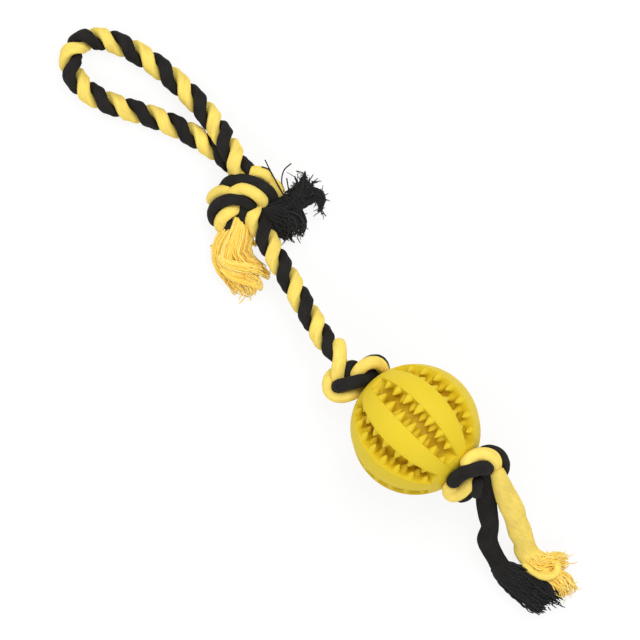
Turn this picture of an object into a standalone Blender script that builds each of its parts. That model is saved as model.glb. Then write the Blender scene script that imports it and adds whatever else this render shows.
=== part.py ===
"""Dog treat rope toy, in metres, +Z up: a toothed rubber ball on a rope of one yellow and one black strand.

The rope forms a loop handle, is bound there by wraps of its own two ends, runs to the ball, and passes
through it between two knots. The ball's middle is above the origin and the rope runs through it along X.
"""

import math

import bmesh
import bpy
import numpy as np
from mathutils import Vector

# Clearances
GAP = 0.0004

# Ball: eight meridian grooves, each wall with two tiers of teeth, round a hollow core with a bore along X
BALL_RADIUS = 0.035
BALL_REST_FLAT = 0.0005
BALL_TILT = math.radians(13)
BORE_RADIUS = 0.0068
BALL_WALL = 0.014
CAVITY_RADIUS = BALL_RADIUS - BALL_WALL
GROOVE_COUNT = 8
GROOVE_ANGLE = math.radians(23.5)
GROOVE_TURN = math.radians(6.7)
GROOVE_DEPTH = 0.009
LOW_WALL_TEETH = 8
HIGH_WALL_TEETH = 7
TOOTH_PITCH = math.radians(15)
TOOTH_BASE_SHARE = 0.58
TOOTH_REACH_SHARE = 0.41
TOOTH_UNDERSIDE_SHARE = 0.36
TOOTH_THICKNESS = 0.0045
TOOTH_FALL = 0.0020
TOOTH_TIP_THICKNESS = 0.0012
RIB_SHARES = (0.2, 0.5, 0.8)
CAP_LATITUDES = (math.radians(63), math.radians(71))
CAVITY_BANDS = 5
RIB_ANGLE = 2 * math.pi / GROOVE_COUNT - GROOVE_ANGLE
RIB_TURNS = [GROOVE_ANGLE / 2 + share * RIB_ANGLE for share in RIB_SHARES]

# Rope: two strands, each flattened where it meets the other, laid round each other right-handed
STRAND_WIDTH = 0.0094
STRAND_THICKNESS = 0.0058
LAY_LENGTH = 0.0234
LOOP_LAY_TURN = math.radians(-51)
RUN_LAY_TURN = math.radians(65)
RINGS_PER_LAY = 11
STRAND_SIDES = 8

# Rope's middle line from the handle binding through both ball knots
AXIS_HEIGHT = BALL_RADIUS - BALL_REST_FLAT
ROPE_ROUTE = (
    (-0.1394, 0.0164, 0.0146),
    (-0.1297, 0.0138, 0.0150),
    (-0.1205, 0.0110, 0.0158),
    (-0.1109, 0.0087, 0.0167),
    (-0.0987, 0.0058, 0.0181),
    (-0.0886, 0.0030, 0.0193),
    (-0.0771, 0.0004, 0.0206),
    (-0.0652, -0.0024, 0.0219),
    (-0.0548, -0.0030, 0.0231),
    (-0.0440, -0.0016, 0.0246),
    (-0.0340, 0.0000, 0.02665),
    (0.0000, 0.0000, 0.0345),
    (0.0342, 0.0000, 0.0424),
    (0.0384, 0.0012, 0.0433),
    (0.0430, 0.0033, 0.0442),
    (0.0466, 0.0047, 0.0449),
)
RUN_END_X = -0.0545
RUN_TIP_SIZES = (0.85, 0.5)
RUN_GAP_SHARE = 0.44

# Loop handle's middle line, from one side of the throat round to the other
LOOP_ROUTE = (
    (-0.1648, 0.0334, 0.0155),
    (-0.1765, 0.0362, 0.0138),
    (-0.1850, 0.0374, 0.0117),
    (-0.1940, 0.0378, 0.0094),
    (-0.2060, 0.0380, 0.0072),
    (-0.2186, 0.0378, 0.0064),
    (-0.2307, 0.0368, 0.0063),
    (-0.2432, 0.0348, 0.0063),
    (-0.2557, 0.0311, 0.0063),
    (-0.2670, 0.0256, 0.0063),
    (-0.2744, 0.0172, 0.0063),
    (-0.2740, 0.0076, 0.0063),
    (-0.2668, 0.0008, 0.0063),
    (-0.2555, -0.0007, 0.0063),
    (-0.2449, 0.0018, 0.0063),
    (-0.2345, 0.0066, 0.0063),
    (-0.2243, 0.0116, 0.0063),
    (-0.2140, 0.0163, 0.0064),
    (-0.2026, 0.0201, 0.0068),
    (-0.1906, 0.0228, 0.0076),
    (-0.1800, 0.0237, 0.0084),
    (-0.1722, 0.0230, 0.0094),
)

# Wraps of single strands: the handle binding and the two ball knots
BINDING_STRAND = 0.0062
BINDING_CORE_STRAND = 0.0057
BINDING_CORE_LENGTH = 0.015
KNOT_STRAND = 0.0056
WRAP_RINGS_PER_TURN = 18
BINDING_CENTRE = Vector((-0.1540, 0.0190, 0.0126))
BINDING_ACROSS = Vector((0.90, 0.43, 0)).normalized()
BINDING_LEAN = math.radians(15)
BINDING_HALF_WIDTH = 0.0140
BINDING_HALF_HEIGHT = 0.0092
BINDING_PITCH = 0.0156
BINDING_END = 0.0190
YELLOW_UPPER_KNOT = (
    (-0.0525, -0.0145, 0.0012),
    (-0.0507, -0.0173, -0.0006),
    (-0.0475, -0.0189, -0.0016),
    (-0.0438, -0.0190, -0.0020),
    (-0.0401, -0.0165, -0.0027),
    (-0.0379, -0.0120, -0.0055),
    (-0.0380, -0.0065, -0.0093),
    (-0.0388, 0.0000, -0.0104),
    (-0.0380, 0.0050, -0.0090),
    (-0.0372, 0.0080, -0.0046),
    (-0.0370, 0.0104, 0.0008),
    (-0.0374, 0.0106, 0.0056),
    (-0.0402, 0.0090, 0.0090),
    (-0.0434, 0.0060, 0.0104),
    (-0.0450, 0.0020, 0.0108),
)
BLACK_UPPER_KNOT = (
    (-0.0369, 0.0032, 0.0092),
    (-0.0397, -0.0017, 0.0104),
    (-0.0429, -0.0069, 0.0095),
    (-0.0455, -0.0109, 0.0054),
    (-0.0466, -0.0122, 0.0000),
    (-0.0465, -0.0109, -0.0054),
    (-0.0462, -0.0065, -0.0090),
    (-0.0459, -0.0005, -0.0102),
    (-0.0454, 0.0051, -0.0084),
    (-0.0442, 0.0101, -0.0050),
    (-0.0422, 0.0134, -0.0042),
    (-0.0386, 0.0147, -0.0043),
)
YELLOW_LOWER_KNOT = (
    (0.0350, 0.0040, 0.0145),
    (0.0356, 0.0100, 0.0125),
    (0.0380, 0.0160, 0.0095),
    (0.0420, 0.0193, 0.0066),
    (0.0452, 0.0190, 0.0032),
    (0.0448, 0.0178, -0.0007),
    (0.0430, 0.0145, -0.0055),
    (0.0415, 0.0085, -0.0095),
    (0.0403, 0.0020, -0.0110),
    (0.0386, -0.0050, -0.0102),
    (0.0372, -0.0104, -0.0066),
    (0.0364, -0.0137, -0.0009),
    (0.0386, -0.0157, 0.0022),
    (0.0430, -0.0146, 0.0030),
    (0.0458, -0.0104, 0.0038),
)
BLACK_LOWER_KNOT = (
    (0.0432, 0.0130, 0.0083),
    (0.0418, 0.0080, 0.0102),
    (0.0402, 0.0030, 0.0110),
    (0.0384, -0.0025, 0.0108),
    (0.0373, -0.0068, 0.0086),
    (0.0388, -0.0088, 0.0045),
    (0.0414, -0.0082, -0.0018),
    (0.0432, -0.0054, -0.0062),
    (0.0458, 0.0010, -0.0087),
    (0.0476, 0.0075, -0.0089),
    (0.0492, 0.0140, -0.0060),
    (0.0498, 0.0196, -0.0036),
    (0.0475, 0.0234, -0.0025),
    (0.0438, 0.0248, -0.0020),
)

# Frayed ends: middle lines with the half width and half height of the bundle at each point
YELLOW_TASSEL = (
    ((-0.1467, 0.0051, 0.0125), 0.0034, 0.0034),
    ((-0.1400, 0.0015, 0.0100), 0.0080, 0.0055),
    ((-0.1340, -0.0015, 0.0082), 0.0125, 0.0070),
    ((-0.1270, -0.0050, 0.0078), 0.0140, 0.0074),
    ((-0.1200, -0.0095, 0.0074), 0.0120, 0.0070),
    ((-0.1145, -0.0135, 0.0068), 0.0085, 0.0062),
    ((-0.1112, -0.0160, 0.0060), 0.0040, 0.0040),
)
BLACK_TASSEL = (
    ((-0.1355, 0.0264, 0.0140), 0.0038, 0.0038),
    ((-0.1310, 0.0300, 0.0118), 0.0100, 0.0072),
    ((-0.1290, 0.0350, 0.0098), 0.0135, 0.0090),
    ((-0.1290, 0.0410, 0.0090), 0.0130, 0.0084),
    ((-0.1320, 0.0470, 0.0080), 0.0100, 0.0072),
    ((-0.1360, 0.0530, 0.0066), 0.0055, 0.0050),
)
YELLOW_TAIL = (
    ((0.0494, 0.0107, 0.0466), 0.0034, 0.0030),
    ((0.0548, 0.0110, 0.0430), 0.0048, 0.0034),
    ((0.0610, 0.0092, 0.0374), 0.0052, 0.0034),
    ((0.0690, 0.0062, 0.0300), 0.0052, 0.0034),
    ((0.0780, 0.0022, 0.0222), 0.0052, 0.0034),
    ((0.0870, -0.0012, 0.0152), 0.0052, 0.0034),
    ((0.0935, -0.0024, 0.0112), 0.0052, 0.0034),
)
BLACK_TAIL = (
    ((0.0510, -0.0017, 0.0452), 0.0033, 0.0031),
    ((0.0550, -0.0026, 0.0414), 0.0046, 0.0034),
    ((0.0600, -0.0048, 0.0366), 0.0052, 0.0034),
    ((0.0690, -0.0118, 0.0282), 0.0052, 0.0034),
    ((0.0770, -0.0160, 0.0216), 0.0052, 0.0034),
    ((0.0850, -0.0190, 0.0158), 0.0052, 0.0034),
    ((0.0915, -0.0196, 0.0116), 0.0052, 0.0034),
)
YELLOW_FRAY = (
    ((0.0941, -0.00255, 0.0109), 0.0046, 0.0030),
    ((0.0980, -0.0030, 0.0087), 0.0058, 0.0038),
    ((0.1015, -0.0018, 0.0076), 0.0074, 0.0046),
    ((0.1070, 0.0024, 0.0064), 0.0088, 0.0050),
    ((0.1140, 0.0026, 0.0056), 0.0082, 0.0047),
    ((0.1210, 0.0004, 0.0050), 0.0062, 0.0040),
    ((0.1250, -0.0008, 0.0046), 0.0036, 0.0032),
)
BLACK_FRAY = (
    ((0.0923, -0.01965, 0.0111), 0.0048, 0.0030),
    ((0.0990, -0.0190, 0.0080), 0.0070, 0.0046),
    ((0.1060, -0.0174, 0.0066), 0.0082, 0.0048),
    ((0.1130, -0.0156, 0.0057), 0.0082, 0.0048),
    ((0.1185, -0.0142, 0.0050), 0.0066, 0.0040),
    ((0.1215, -0.0136, 0.0046), 0.0040, 0.0032),
)
TASSEL_SIDES = 12
TASSEL_RINGS = 12
TAIL_RINGS = 16

for leftover in list(bpy.data.objects):
    bpy.data.objects.remove(leftover, do_unlink=True)


def make_material(name, colour, roughness):
    material = bpy.data.materials.new(name)
    material.use_nodes = True
    shader = material.node_tree.nodes["Principled BSDF"]
    shader.inputs["Base Color"].default_value = (*colour, 1)
    shader.inputs["Roughness"].default_value = roughness
    shader.inputs["Metallic"].default_value = 0
    return material


RUBBER = make_material("lemon_rubber", (0.84, 0.66, 0.03), 0.5)
YELLOW_COTTON = make_material("yellow_cotton", (0.93, 0.70, 0.14), 0.9)
BLACK_COTTON = make_material("black_cotton", (0.02, 0.018, 0.02), 0.9)


def finish(name, shape, material):
    """Turns a bmesh into a named, smooth-shaded object with its faces out."""
    bmesh.ops.recalc_face_normals(shape, faces=shape.faces)
    if shape.calc_volume(signed=True) < 0:
        bmesh.ops.reverse_faces(shape, faces=shape.faces)
    mesh = bpy.data.meshes.new(name)
    shape.to_mesh(mesh)
    shape.free()
    mesh.materials.append(material)
    mesh.shade_smooth()
    mesh.set_sharp_from_angle(angle=math.radians(40))
    piece = bpy.data.objects.new(name, mesh)
    bpy.context.scene.collection.objects.link(piece)
    return piece


def loft(name, rings, material):
    """Bridges a list of rings, each with as many points, and closes both ends."""
    shape = bmesh.new()
    rows = [[shape.verts.new(point) for point in ring] for ring in rings]
    sides = len(rows[0])
    for low, high in zip(rows, rows[1:]):
        for side in range(sides):
            after = (side + 1) % sides
            shape.faces.new((low[side], low[after], high[after], high[side]))
    shape.faces.new(rows[0])
    shape.faces.new(rows[-1])
    bmesh.ops.triangulate(shape, faces=shape.faces)
    return finish(name, shape, material)


def smooth_route(points, spacing):
    """Points about this far apart on a smooth curve through hand-placed points, as an array."""
    points = np.array(points, float)
    padded = np.vstack((2 * points[0] - points[1], points, 2 * points[-1] - points[-2]))
    steps = np.linspace(0, 1, 24, endpoint=False)[:, None]
    dense = []
    for a, b, c, d in zip(padded, padded[1:], padded[2:], padded[3:]):
        bend = (2 * a - 5 * b + 4 * c - d) * steps**2 + (3 * b - a - 3 * c + d) * steps**3
        dense.append(0.5 * (2 * b + (c - a) * steps + bend))
    dense = np.vstack((*dense, points[-1:]))
    along = np.concatenate(([0], np.cumsum(np.linalg.norm(np.diff(dense, axis=0), axis=1))))
    count = max(2, round(along[-1] / spacing) + 1)
    wanted = np.linspace(0, along[-1], count)
    return np.column_stack([np.interp(wanted, along, dense[:, axis]) for axis in range(3)])


def frames_along(route):
    """Tangent, side and up of each point of a route, carried along it without twist."""
    tangents = np.gradient(route, axis=0)
    tangents /= np.linalg.norm(tangents, axis=1)[:, None]
    up = np.array((0, 0, 1.0))
    frames = []
    for tangent in tangents:
        up = up - tangent * up.dot(tangent)
        up /= np.linalg.norm(up)
        frames.append((tangent, np.cross(up, tangent), up))
    return frames


def oval_ring(centre, wide, high, half_width, half_height, sides):
    """Points of an oval round a centre, counted from the side that faces against `high`."""
    angles = [2 * math.pi * side / sides for side in range(sides)]
    return [
        Vector(centre - high * (half_height * math.cos(a)) + wide * (half_width * math.sin(a)))
        for a in angles
    ]


def laid_strand(name, route, turn, tip_sizes, material):
    """One strand of the two-strand lay along a route, starting at this angle round it.

    `tip_sizes` draws in its last rings, which rounds that end for a swing.
    """
    offset = (GAP + STRAND_THICKNESS) / 2
    spans = np.linalg.norm(np.diff(route, axis=0), axis=1)
    along = np.concatenate(([0], np.cumsum(spans)))
    sizes = np.ones(len(route))
    sizes[len(route) - len(tip_sizes) :] = tip_sizes
    rings = []
    for distance, centre, size, (_, side, up) in zip(along, route, sizes, frames_along(route)):
        angle = turn + 2 * math.pi * distance / LAY_LENGTH
        out = up * math.cos(angle) - side * math.sin(angle)
        wide = up * math.sin(angle) + side * math.cos(angle)
        middle = centre + out * offset
        half_width = size * STRAND_WIDTH / 2
        half_height = size * STRAND_THICKNESS / 2
        rings.append(oval_ring(middle, wide, out, half_width, half_height, STRAND_SIDES))
    return loft(name, rings, material)


def laid_pair(stretch, route, turn, tip_sizes=()):
    """Both strands of a stretch of rope."""
    laid_strand("yellow_" + stretch, route, turn, tip_sizes, YELLOW_COTTON)
    laid_strand("black_" + stretch, route, turn + math.pi, tip_sizes, BLACK_COTTON)


def binding_route(turns, top):
    """A strand wound round the binding: it is on top where its turn less `top` is whole.

    It moves along the binding by the pitch each turn, and the wraps draw in like a barrel towards both ends.
    """
    stack = Vector((0, -math.cos(BINDING_LEAN), math.sin(BINDING_LEAN)))
    upward = Vector((0, math.sin(BINDING_LEAN), math.cos(BINDING_LEAN)))
    first, last = turns
    count = max(3, round((last - first) * WRAP_RINGS_PER_TURN) + 1)
    points = []
    for turn in np.linspace(first, last, count):
        angle = 2 * math.pi * (turn - top)
        travel = BINDING_PITCH * turn
        size = math.sqrt(1 - (travel / BINDING_END) ** 2)
        place = BINDING_CENTRE + stack * travel
        place -= BINDING_ACROSS * (BINDING_HALF_WIDTH * size * math.sin(angle))
        place += upward * (BINDING_HALF_HEIGHT * size * math.cos(angle))
        points.append(place)
    return np.array(points)


def wound_strand(name, route, diameter, material):
    """A round strand along a wound route."""
    rings = [
        oval_ring(centre, side, up, diameter / 2, diameter / 2, STRAND_SIDES)
        for centre, (_, side, up) in zip(route, wound_frames(route))
    ]
    return loft(name, rings, material)


def wound_frames(route):
    """Frames of a route that loops over the top, whose up is carried from a level start."""
    tangents = np.gradient(route, axis=0)
    tangents /= np.linalg.norm(tangents, axis=1)[:, None]
    level = np.cross(tangents[0], (0, 0, 1.0))
    if np.linalg.norm(level) < 1e-3:
        level = np.array((1.0, 0, 0))
    up = np.cross(level, tangents[0])
    frames = []
    for tangent in tangents:
        up = up - tangent * up.dot(tangent)
        up /= np.linalg.norm(up)
        frames.append((tangent, np.cross(up, tangent), up))
    return frames


def on_bore_axis(along, aside, up):
    """A point from its distance along the ball's tilted bore, towards +Y and square up from both."""
    forward = along * math.cos(BALL_TILT) - up * math.sin(BALL_TILT)
    height = along * math.sin(BALL_TILT) + up * math.cos(BALL_TILT)
    return (forward, aside, AXIS_HEIGHT + height)


def least_gap(route, diameter):
    """Least gap of a wound tube to itself, measured between points at least a third of a turn apart."""
    apart = WRAP_RINGS_PER_TURN // 3
    dense = smooth_route(route, diameter / 8)
    skip = round(apart * len(dense) / len(route))
    distances = [
        np.linalg.norm(dense[index + skip :] - point, axis=1).min()
        for index, point in enumerate(dense[: -skip - 1])
    ]
    return min(distances) - diameter


def bundle(name, outline, count, sides, material):
    """A soft bundle of yarns lofted through hand-placed points, each with its half width and half height."""
    places = np.array([place for place, _, _ in outline])
    sizes = np.array([(wide, high) for _, wide, high in outline])
    route = smooth_route(places, np.linalg.norm(np.diff(places, axis=0), axis=1).sum() / count)
    shares = np.linspace(0, 1, len(places))
    wanted = np.linspace(0, 1, len(route))
    wide = np.interp(wanted, shares, sizes[:, 0])
    high = np.interp(wanted, shares, sizes[:, 1])
    rings = [
        oval_ring(centre, side, up, wide[index], high[index], sides)
        for index, (centre, (_, side, up)) in enumerate(zip(route, frames_along(route)))
    ]
    return loft(name, rings, material)


def ball_point(radius, latitude, turn):
    """A point of the ball from its distance out, latitude towards the tails and angle from the top towards +Y.

    The bore's far end is tilted up, and what would reach below the floor is pressed flat on it.
    """
    level = radius * math.cos(latitude)
    forward, aside, height = on_bore_axis(
        radius * math.sin(latitude), level * math.sin(turn), level * math.cos(turn)
    )
    return Vector((forward, aside, max(height, 0)))


def wall_stations(first_tip, teeth):
    """Latitudes of one groove wall's points, and which of them are tips in the upper and lower tier."""
    stations = 4 * LOW_WALL_TEETH - 1
    middle = (stations - 1) / 2
    latitudes = [(index - middle) * TOOTH_PITCH / 4 for index in range(stations)]
    upper = list(range(first_tip, first_tip + 4 * teeth, 4))
    lower = [index + 2 for index in upper[:-1]]
    widen = (TOOTH_BASE_SHARE / 2 - 0.25) * TOOTH_PITCH
    for tip in upper:
        latitudes[tip - 1] -= widen
        latitudes[tip + 1] += widen
    return latitudes, upper, lower


def make_ball():
    """The ball's skin, groove by groove: ribs, two tiers of teeth, groove floors, pole caps, bore and hollow."""
    shape = bmesh.new()
    radii = (BALL_RADIUS, BALL_RADIUS - TOOTH_THICKNESS, BALL_RADIUS - GROOVE_DEPTH)
    sector = 2 * math.pi / GROOVE_COUNT
    low_wall = wall_stations(1, LOW_WALL_TEETH)
    high_wall = wall_stations(3, HIGH_WALL_TEETH)
    last = len(low_wall[0]) - 1
    end_latitude = low_wall[0][last]

    def wall(edge_turn, into, stations):
        """Edge points in three layers and the tooth tips of one wall."""
        latitudes, upper, lower = stations
        edges = [[shape.verts.new(ball_point(r, lat, edge_turn)) for lat in latitudes] for r in radii]
        tips = [{}, {}, {}]
        reach = into * GROOVE_ANGLE
        for tip in upper:
            far = edge_turn + reach * TOOTH_REACH_SHARE
            near = edge_turn + reach * TOOTH_UNDERSIDE_SHARE
            point = radii[0] - TOOTH_FALL
            tips[0][tip] = shape.verts.new(ball_point(point, latitudes[tip], far))
            tips[1][tip] = shape.verts.new(ball_point(point - TOOTH_TIP_THICKNESS, latitudes[tip], near))
        for tip in lower:
            far = edge_turn + reach * TOOTH_REACH_SHARE
            tips[2][tip] = {
                1: shape.verts.new(ball_point(radii[1] - TOOTH_FALL, latitudes[tip], far)),
                2: shape.verts.new(ball_point(radii[2], latitudes[tip], far)),
            }
        return edges, tips

    def face(*corners):
        shape.faces.new(corners)

    def wall_faces(edges, tips, index):
        """Walls of both tiers between two stations, with the ledges where a tooth starts or ends."""
        after = index + 1
        top = [tips[0].get(i, edges[0][i]) for i in (index, after)]
        under = [tips[1].get(i, edges[1][i]) for i in (index, after)]
        ledge = [tips[2][i][1] if i in tips[2] else edges[1][i] for i in (index, after)]
        floor = [tips[2][i][2] if i in tips[2] else edges[2][i] for i in (index, after)]
        face(top[0], top[1], under[1], under[0])
        face(ledge[0], ledge[1], floor[1], floor[0])
        for i, one, other in ((0, top, under), (1, top, under)):
            station = (index, after)[i]
            if station in tips[0]:
                face(edges[0][index], edges[0][after], one[i])
                face(edges[1][index], edges[1][after], other[i])
        for i, station in enumerate((index, after)):
            if station in tips[2]:
                face(edges[1][index], edges[1][after], ledge[i])
        return floor

    lows = []
    highs = []
    for groove in range(GROOVE_COUNT):
        middle = GROOVE_TURN + groove * sector
        lows.append(wall(middle - GROOVE_ANGLE / 2, 1, low_wall))
        highs.append(wall(middle + GROOVE_ANGLE / 2, -1, high_wall))
    ribs = []
    for groove in range(GROOVE_COUNT):
        rib_turns = [GROOVE_TURN + groove * sector + rib_turn for rib_turn in RIB_TURNS]
        ribs.append([[shape.verts.new(ball_point(radii[0], lat, turn)) for lat in low_wall[0]] for turn in rib_turns])

    for groove in range(GROOVE_COUNT):
        low = lows[groove]
        high = highs[groove]
        beyond = lows[(groove + 1) % GROOVE_COUNT]
        for index in range(last):
            one = wall_faces(*low, index)
            other = wall_faces(*high, index)
            face(one[0], one[1], other[1], other[0])
            columns = [high[0][0], *ribs[groove], beyond[0][0]]
            for one, other in zip(columns, columns[1:]):
                face(one[index], one[index + 1], other[index + 1], other[index])
        for end in (0, last):
            for layer in (0, 1):
                face(low[0][layer][end], high[0][layer][end], high[0][layer + 1][end], low[0][layer + 1][end])

    bore_latitude = math.acos(BORE_RADIUS / BALL_RADIUS)
    cavity_latitude = math.acos(BORE_RADIUS / CAVITY_RADIUS)
    turns = []
    for groove in range(GROOVE_COUNT):
        middle = GROOVE_TURN + groove * sector
        turns += [middle - GROOVE_ANGLE / 2, middle + GROOVE_ANGLE / 2]
        turns += [middle + rib_turn for rib_turn in RIB_TURNS]

    def bridge(first, second):
        for index in range(len(first)):
            after = (index + 1) % len(first)
            face(first[index], first[after], second[after], second[index])

    inner = []
    for end, way in ((0, -1), (last, 1)):
        ring = []
        for groove in range(GROOVE_COUNT):
            ring += [lows[groove][0][0][end], highs[groove][0][0][end]]
            ring += [column[end] for column in ribs[groove]]
        for latitude in (*CAP_LATITUDES, bore_latitude):
            wider = [shape.verts.new(ball_point(BALL_RADIUS, way * latitude, turn)) for turn in turns]
            bridge(ring, wider)
            ring = wider
        inside = [shape.verts.new(ball_point(CAVITY_RADIUS, way * cavity_latitude, turn)) for turn in turns]
        bridge(ring, inside)
        inner.append(inside)
    ring = inner[0]
    for band in range(1, CAVITY_BANDS):
        latitude = cavity_latitude * (2 * band / CAVITY_BANDS - 1)
        wider = [shape.verts.new(ball_point(CAVITY_RADIUS, latitude, turn)) for turn in turns]
        bridge(ring, wider)
        ring = wider
    bridge(ring, inner[1])
    return finish("treat_ball", shape, RUBBER)


def make_rope():
    """The laid rope: loop handle, main run, and the stretch through the ball and its knots."""
    spacing = LAY_LENGTH / RINGS_PER_LAY
    laid_pair("handle_loop", smooth_route(LOOP_ROUTE, spacing), LOOP_LAY_TURN)
    whole = smooth_route(ROPE_ROUTE, spacing)
    cut = int(np.searchsorted(whole[:, 0], RUN_END_X))
    run = whole[: cut + 1]
    start = whole[cut] + (whole[cut + 1] - whole[cut]) * RUN_GAP_SHARE
    through = np.vstack((start, whole[cut + 1 :]))
    laid_pair("main_run", run, RUN_LAY_TURN, RUN_TIP_SIZES)
    passed = np.linalg.norm(np.diff(np.vstack((run, start)), axis=0), axis=1).sum()
    laid_pair("ball_run", through, RUN_LAY_TURN + 2 * math.pi * passed / LAY_LENGTH)


def make_wraps():
    """The handle binding and the two ball knots, each a yellow and a black strand wound side by side."""
    yellow = binding_route((-1.16, 1.16), 0)
    black = binding_route((-0.84, 0.84), 0.5)
    wound_strand("yellow_handle_wraps", yellow, BINDING_STRAND, YELLOW_COTTON)
    wound_strand("black_handle_wraps", black, BINDING_STRAND, BLACK_COTTON)
    for route in (yellow, black):
        print(f"least gap of a handle wrap to itself: {1000 * least_gap(route, BINDING_STRAND):.2f} mm")
    for name, side, material in (("yellow", -1, YELLOW_COTTON), ("black", 1, BLACK_COTTON)):
        beside = BINDING_CENTRE + Vector((side * (BINDING_CORE_STRAND + GAP) / 2, 0, 0))
        along = Vector((0, -math.cos(BINDING_LEAN), math.sin(BINDING_LEAN))) * BINDING_CORE_LENGTH
        core = [beside + along * share for share in (-0.5, -0.17, 0.17, 0.5)]
        wound_strand(name + "_handle_core", np.array(core), BINDING_CORE_STRAND, material)
    spacing = LAY_LENGTH / RINGS_PER_LAY
    for name, points, material in (
        ("yellow_upper_knot", YELLOW_UPPER_KNOT, YELLOW_COTTON),
        ("black_upper_knot", BLACK_UPPER_KNOT, BLACK_COTTON),
        ("yellow_lower_knot", YELLOW_LOWER_KNOT, YELLOW_COTTON),
        ("black_lower_knot", BLACK_LOWER_KNOT, BLACK_COTTON),
    ):
        placed = [on_bore_axis(*point) for point in points]
        wound_strand(name, smooth_route(placed, spacing), KNOT_STRAND, material)


def make_ends():
    """The tassels at the handle and the two tails with their frayed tips."""
    bundle("yellow_tassel", YELLOW_TASSEL, TASSEL_RINGS, TASSEL_SIDES, YELLOW_COTTON)
    bundle("black_tassel", BLACK_TASSEL, TASSEL_RINGS, TASSEL_SIDES, BLACK_COTTON)
    bundle("yellow_tail", YELLOW_TAIL, TAIL_RINGS, STRAND_SIDES, YELLOW_COTTON)
    bundle("black_tail", BLACK_TAIL, TAIL_RINGS, STRAND_SIDES, BLACK_COTTON)
    bundle("yellow_frayed_tip", YELLOW_FRAY, TASSEL_RINGS, TASSEL_SIDES, YELLOW_COTTON)
    bundle("black_frayed_tip", BLACK_FRAY, TASSEL_RINGS, TASSEL_SIDES, BLACK_COTTON)


make_ball()
make_rope()
make_wraps()
make_ends()
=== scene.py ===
"""A rubber treat ball on a two-strand cotton rope, lying on a pale floor and seen from straight above."""

import math

import bpy
import numpy as np
from mathutils import Matrix, Vector


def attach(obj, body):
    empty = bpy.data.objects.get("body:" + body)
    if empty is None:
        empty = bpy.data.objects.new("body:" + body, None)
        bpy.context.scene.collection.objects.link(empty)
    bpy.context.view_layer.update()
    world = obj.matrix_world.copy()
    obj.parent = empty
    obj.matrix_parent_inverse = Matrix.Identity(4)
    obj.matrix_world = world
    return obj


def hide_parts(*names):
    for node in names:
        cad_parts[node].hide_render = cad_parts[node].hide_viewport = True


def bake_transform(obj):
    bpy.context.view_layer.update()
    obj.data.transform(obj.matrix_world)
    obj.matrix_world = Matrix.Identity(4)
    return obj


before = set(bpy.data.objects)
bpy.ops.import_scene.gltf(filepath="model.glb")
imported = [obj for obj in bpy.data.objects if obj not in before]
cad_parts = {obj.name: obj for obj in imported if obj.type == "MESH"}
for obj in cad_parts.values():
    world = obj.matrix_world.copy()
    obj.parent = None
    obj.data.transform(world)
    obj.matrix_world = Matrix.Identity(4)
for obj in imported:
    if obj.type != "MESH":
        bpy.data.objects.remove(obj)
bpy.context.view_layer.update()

# The studio: a pale floor under the toy, one broad soft lamp above, two weaker ones beside it and a white
# world. The camera looks straight down from three metres through a long lens, turned so that the rope runs
# from corner to corner of the picture.

studio = bpy.context.scene
studio.view_settings.view_transform = "Standard"

PICTURE_PIXELS = 640
PICTURE_WIDTH = 0.342
CAMERA_DISTANCE = 3.0
CAMERA_HEIGHT = 0.035 + CAMERA_DISTANCE
CAMERA_FOOT = (-0.0775, 0.0039)
PICTURE_RIGHT = Vector((0.6950, 0.7190, 0))
PICTURE_UP = Vector((-0.7190, 0.6950, 0))
SENSOR_WIDTH = 36
ROOM_LIGHT = 0.62
FLOOR_COLOUR = (0.93, 0.93, 0.93)
FLOOR_GLOW = 0.86
FLOOR_DROP = 0.0004

camera_data = bpy.data.cameras.new("studio_camera")
camera_data.sensor_width = SENSOR_WIDTH
camera_data.lens = SENSOR_WIDTH * CAMERA_DISTANCE / PICTURE_WIDTH
camera_data.clip_end = 20
camera = bpy.data.objects.new("studio_camera", camera_data)
turn = Matrix((PICTURE_RIGHT, PICTURE_UP, Vector((0, 0, 1)))).transposed().to_4x4()
camera.matrix_world = Matrix.Translation((*CAMERA_FOOT, CAMERA_HEIGHT)) @ turn
studio.collection.objects.link(camera)
studio.camera = camera


def add_lamp(name, place, aim, size, watts):
    """A square soft lamp at a place, turned to a point of the floor."""
    data = bpy.data.lights.new(name, "AREA")
    data.size = size
    data.energy = watts
    lamp = bpy.data.objects.new(name, data)
    lamp.location = place
    lamp.rotation_euler = (Vector(aim) - Vector(place)).to_track_quat("-Z", "Y").to_euler()
    studio.collection.objects.link(lamp)


add_lamp("overhead_softbox", (-0.15, 0.55, 1.2), (-0.08, 0, 0), 0.9, 11)
add_lamp("left_softbox", (-1.0, -0.5, 0.8), (-0.08, 0, 0), 0.7, 4)
add_lamp("right_softbox", (0.8, -0.6, 0.9), (-0.05, 0, 0), 0.7, 4)


class Value:
    """A socket that takes part in Python sums; each sum adds a Math node to its finish."""

    def __init__(self, finish, socket):
        self.finish = finish
        self.socket = socket

    def maths(self, operation, *terms):
        return self.finish.add("ShaderNodeMath", {"operation": operation}, terms)

    def __add__(self, other):
        return self.maths("ADD", self, other)

    __radd__ = __add__

    def __mul__(self, other):
        return self.maths("MULTIPLY", self, other)

    __rmul__ = __mul__

    def __sub__(self, other):
        return self.maths("SUBTRACT", self, other)

    def __rsub__(self, other):
        return self.maths("SUBTRACT", other, self)


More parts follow.
